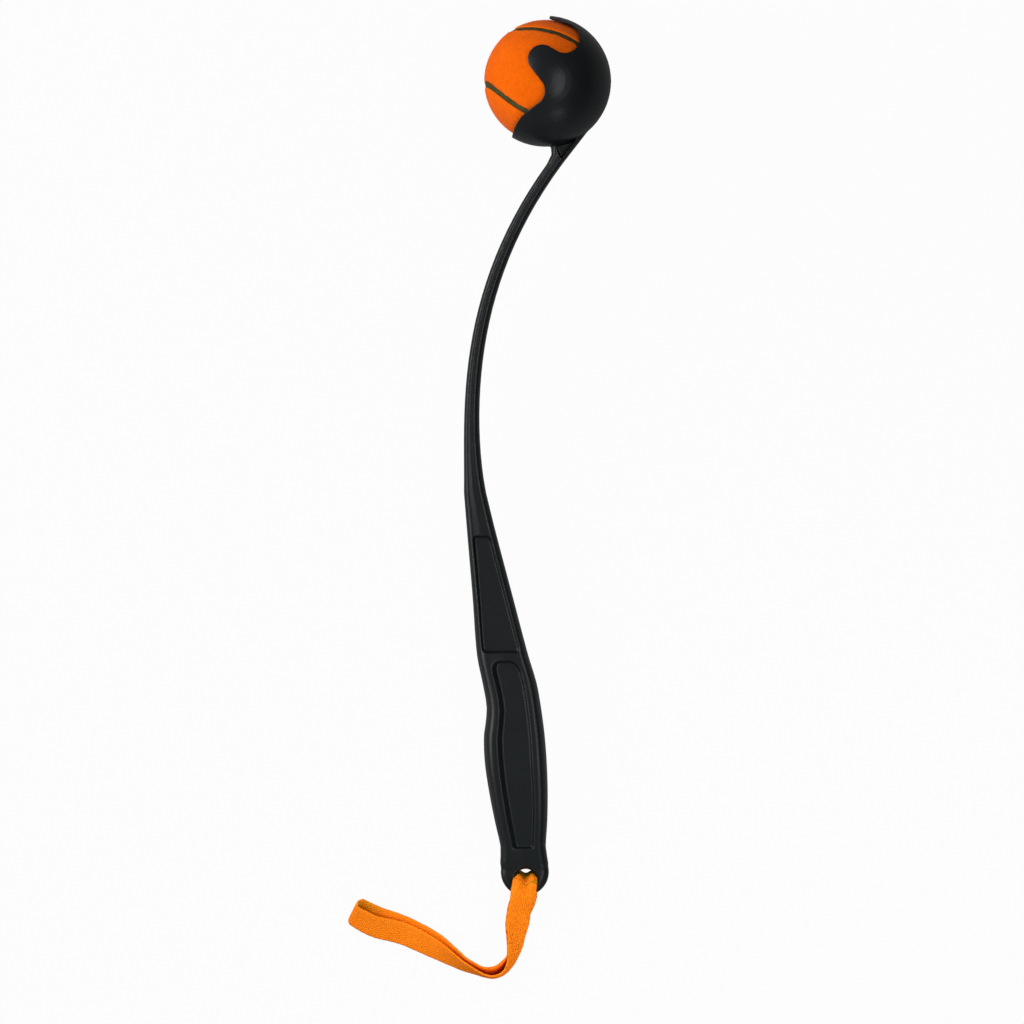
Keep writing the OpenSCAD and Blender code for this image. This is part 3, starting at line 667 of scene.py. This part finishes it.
def makeNap(look, finish):  # short fibres that stand off the felt, each a closed three-sided spike
    turn = Euler([math.radians(a) for a in look["seamTurn"]]).to_matrix()
    turn = Matrix.Rotation(stickTilt, 3, "X") @ turn
    seamSteps = 240
    seam = [turn @ seamCurve(2 * math.pi * i / seamSteps) for i in range(seamSteps)]
    clear = math.cos(look["seamWidth"] * 0.62 / look["radius"])  # just past the seam's edge
    length, height, sunk = look["napLength"], look["napHeight"], look["napSunk"]
    points, faces = [], []
    for i in range(look["napCount"]):
        z = 1 - 2 * (i + 0.5) / look["napCount"]
        a = i * look["napTurn"]
        up = Vector((math.sqrt(1 - z * z) * math.cos(a), math.sqrt(1 - z * z) * math.sin(a), z))
        if max(up.dot(spot) for spot in seam) > clear:
            continue
        spin = i * 1.7 + 3 * math.sin(i * 0.37)
        flat = up.orthogonal().normalized()
        lay = flat * math.cos(spin) + up.cross(flat) * math.sin(spin)
        side = up.cross(lay)
        size = 0.55 + 0.45 * math.sin(i * 12.9898) ** 2
        root = ballCentre + up * (look["radius"] - sunk)
        knee = root + lay * length * 0.45 * size + up * (height * size + sunk)
        tip = root + lay * length * size + side * length * 0.3 * math.sin(i * 4.1)
        tip += up * (height * 0.6 * size + sunk)
        base = len(points)
        for spot, width in zip((root, knee), look["napWidths"]):
            points += [spot + side * width, spot - side * width * 0.5 + up * width * 0.8,
                       spot - side * width * 0.5 - up * width * 0.8]
        points.append(tip)
        faces.append((base, base + 2, base + 1))
        for k in range(3):
            n = (k + 1) % 3
            faces.append((base + k, base + n, base + 3 + n, base + 3 + k))
            faces.append((base + 3 + k, base + 3 + n, base + 6))
    piece = meshPiece("feltNap", points, faces)
    faceOutwards(piece)
    dress(piece, finish, "ball")
    print("nap fibres:", len(points) // 7)


makeFelt(ballCover)


# ball seam and core keep their solids

ballRubber = {
    "seamColour": (0.036, 0.031, 0.007),
    "seamLight": (0.062, 0.056, 0.016),
    "seamScale": 260.0,
    "seamRoughness": 0.68,
    "coreColour": (0.1, 0.095, 0.088),
    "coreLight": (0.15, 0.145, 0.135),
    "coreScale": 140.0,
    "coreRoughness": 0.72,
    "reliefDepth": 0.00012,
}


def rubberFinish(name, look, part):
    finish = Finish(name)
    where = finish.place()
    dark, light, scale = look[part + "Colour"], look[part + "Light"], look[part + "Scale"]
    cloud = finish.noise(where, scale, 5.0, 0.6)
    grit = finish.noise(where, scale * 9, 2.0, 0.5)
    finish.set(Base_Color=finish.blend(finish.soften(cloud, 0.3, 0.7), dark, light),
               Roughness=look[part + "Roughness"] + 0.12 * grit,
               Normal=finish.relief(cloud * 0.6 + grit * 0.4, look["reliefDepth"], 0.6),
               Specular_IOR_Level=0.15)
    return finish


def dressNode(node, finish):
    mesh = frame["nodes"][node].data
    mesh.materials.clear()
    mesh.materials.append(finish.material)


def makeRubber(look):
    seam = rubberFinish("seamCement", look, "seam")
    core = rubberFinish("coreRubber", look, "core")
    dressNode("ball_seam", seam)
    dressNode("core_half_inner", core)
    dressNode("core_half_outer", core)
    print("ball rubber dressed")


makeRubber(ballRubber)


# strap stitching: two bar tacks of close zigzag thread on both faces of the lap

barTack = {
    "width": 11.0,
    "length": 2.4,
    "inset": 0.2,  # from each end of the lap, in knots
    "threadRadius": 0.2,
    "stitches": 17,
    "stitchPath": (1.0, 0.9, 0.7, 0.5, 0.3, 0.1, 0.0),  # shares of the length
    "endSunk": 2.2,  # thread radii below the webbing's face
    "middleSunk": -0.55,
    "colour": (0.8, 0.13, 0.003),
    "shadeColour": (0.5, 0.07, 0.001),
    "twistScale": 3000.0,
    "reliefDepth": 0.00006,
}


def threadFinish(look):
    finish = Finish("bondedThread")
    twist = finish.noise(finish.place(), look["twistScale"], 2.0, 0.5)
    finish.set(Base_Color=finish.blend(twist, look["shadeColour"], look["colour"]),
               Roughness=0.55 + 0.2 * twist,
               Normal=finish.relief(twist, look["reliefDepth"], 0.6))
    return finish


def threadTube(points, faces, route, radius, side):
    base, sides = len(points), 6
    turns = [2 * math.pi * k / sides for k in range(sides)]
    for i, spot in enumerate(route):
        ahead = (route[min(i + 1, len(route) - 1)] - route[max(i - 1, 0)]).normalized()
        flat = (side - side.dot(ahead) * ahead).normalized()
        lift = ahead.cross(flat)
        points += [spot + radius * (flat * math.cos(a) + lift * math.sin(a)) for a in turns]
    for i in range(len(route) - 1):
        for k in range(sides):
            n = (k + 1) % sides
            faces.append((base + i * sides + k, base + i * sides + n,
                          base + (i + 1) * sides + n, base + (i + 1) * sides + k))
    last = base + (len(route) - 1) * sides
    faces.append(tuple(base + k for k in range(sides - 1, -1, -1)))
    faces.append(tuple(last + k for k in range(sides)))


def makeStitching(look):
    points, faces = [], []
    first, last = webbing["lapSpan"]
    share = look["length"] / (plyMiddle(lowerPly, last) - plyMiddle(lowerPly, last - 1)).length
    outside = webbing["thickness"] / 2
    inside = outside + webbing["lapThickness"]
    for start in (first + look["inset"], last - look["inset"] - share):
        rows = [plyStation(lowerPly, start + share * t) for t in look["stitchPath"]]
        for face, lift in ((outside, 1), (inside, -1)):
            for i in range(look["stitches"]):
                route = []
                for k, at in enumerate(rows):
                    t = k / (len(rows) - 1)
                    x = look["width"] * ((i + 0.25 + 0.5 * t) / look["stitches"] - 0.5)
                    across = (abs(x), 0, 0, 1 if x > 0 else -1)
                    atEnd = k in (0, len(rows) - 1)
                    sunk = look["threadRadius"] * look["endSunk" if atEnd else "middleSunk"]
                    route.append(strapPoint(at, across, lift * (face - sunk)))
                threadTube(points, faces, route, look["threadRadius"] * mm, rows[0]["side"])
    piece = meshPiece("strapBarTacks", points, faces)
    faceOutwards(piece)
    dress(piece, threadFinish(look), "strap")
    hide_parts("strap_stitching")
    print("bar tacks sewn")


makeStitching(barTack)


# floor, lights and background

studio = {
    "floorSize": 8.0,
    "floorDrop": 0.0003,
    "floorColour": (0.2, 0.2, 0.2),
    "floorGlow": 0.97,  # share of plain white that the camera sees in the floor
    "floorMirrored": 0.04,  # the same for reflections
    "skyLight": (0.52, 0.1),  # from the left and from the right
    "lamps": (
        # name, aim along the stick, way to it (across, along, out), distance, width, height, power
        ("keySoftbox", 0.2, (-0.76, 0.42, 0.6), 1.7, 0.9, 1.2, 14.0),
        ("sideStrip", 0.2, (-0.93, 0.22, 0.27), 1.5, 0.5, 1.4, 10.5),
        ("frontStrip", 0.2, (0.4, 0.03, 0.92), 1.6, 0.35, 1.2, 5.4),
        ("lowStrip", 0.2, (0.36, -0.79, 0.49), 1.6, 0.25, 0.4, 1.2),
        ("strapLight", -0.025, (0.5, -0.4, 0.77), 0.45, 0.3, 0.3, 1.45),
    ),
}


def makeFloor(look):
    deselectAll()
    bpy.ops.mesh.primitive_plane_add(size=look["floorSize"], location=(0, 0, -look["floorDrop"]))
    floor = bpy.context.object
    floor.name = "paleFloor"
    finish = Finish("paleFloor")
    finish.set(Base_Color=look["floorColour"], Roughness=0.8, Specular_IOR_Level=0.1)
    seen = finish.node("ShaderNodeLightPath", out="Is Camera Ray")
    mirrored = finish.node("ShaderNodeLightPath", out="Is Glossy Ray")
    through = finish.node("ShaderNodeLightPath", out="Is Transmission Ray")
    glow = finish.node("ShaderNodeEmission", {}, {"Color": (1, 1, 1), "Strength": 1.0})
    share = seen.sum("MAXIMUM", through) * look["floorGlow"]
    share = share.sum("MAXIMUM", mirrored * look["floorMirrored"])
    plain = Wire(finish, finish.shader.outputs[0])
    shown = finish.node("ShaderNodeMixShader", {}, {0: share, 1: plain, 2: glow})
    finish.feed(finish.tree.nodes["Material Output"].inputs["Surface"], shown)
    floor.data.materials.append(finish.material)


def makeSky(look):
    world = bpy.data.worlds.new("studioSky")
    bpy.context.scene.world = world
    world.use_nodes = True
    sky = Nodes(world.node_tree)
    back = sky.tree.nodes["Background"]
    way = sky.node("ShaderNodeTexCoord", out="Generated")
    across = sky.node("ShaderNodeSeparateXYZ", {}, {0: way}, "X")
    left, right = look["skyLight"]
    light = (left + right) / 2 + across * ((right - left) / 2)
    seen = sky.node("ShaderNodeLightPath", out="Is Camera Ray")
    through = sky.node("ShaderNodeLightPath", out="Is Transmission Ray")
    white = seen.sum("MAXIMUM", through)
    sky.feed(back.inputs["Color"], (1, 1, 1))
    sky.feed(back.inputs["Strength"], light + (1 - light) * white)


def makeLamps(look):
    for name, aimAlong, towards, distance, width, height, power in look["lamps"]:
        aim = onStick(0.0, aimAlong)
        lamp = bpy.data.lights.new(name, "AREA")
        lamp.shape = "RECTANGLE"
        lamp.size, lamp.size_y, lamp.energy = width, height, power
        holder = bpy.data.objects.new(name, lamp)
        bpy.context.scene.collection.objects.link(holder)
        way = Vector(towards).normalized()
        way = way.x * stickAcross + way.y * stickAlong + way.z * stickOut
        holder.location = aim + distance * way
        holder.rotation_mode = "QUATERNION"
        holder.rotation_quaternion = (aim - holder.location).to_track_quat("-Z", "X")
        holder.visible_glossy = name != "strapLight"  # so that it leaves no glint on the butt


makeFloor(studio)
makeSky(studio)
makeLamps(studio)
bpy.context.scene.view_settings.view_transform = "Standard"
print("studio lit")

deselectAll()
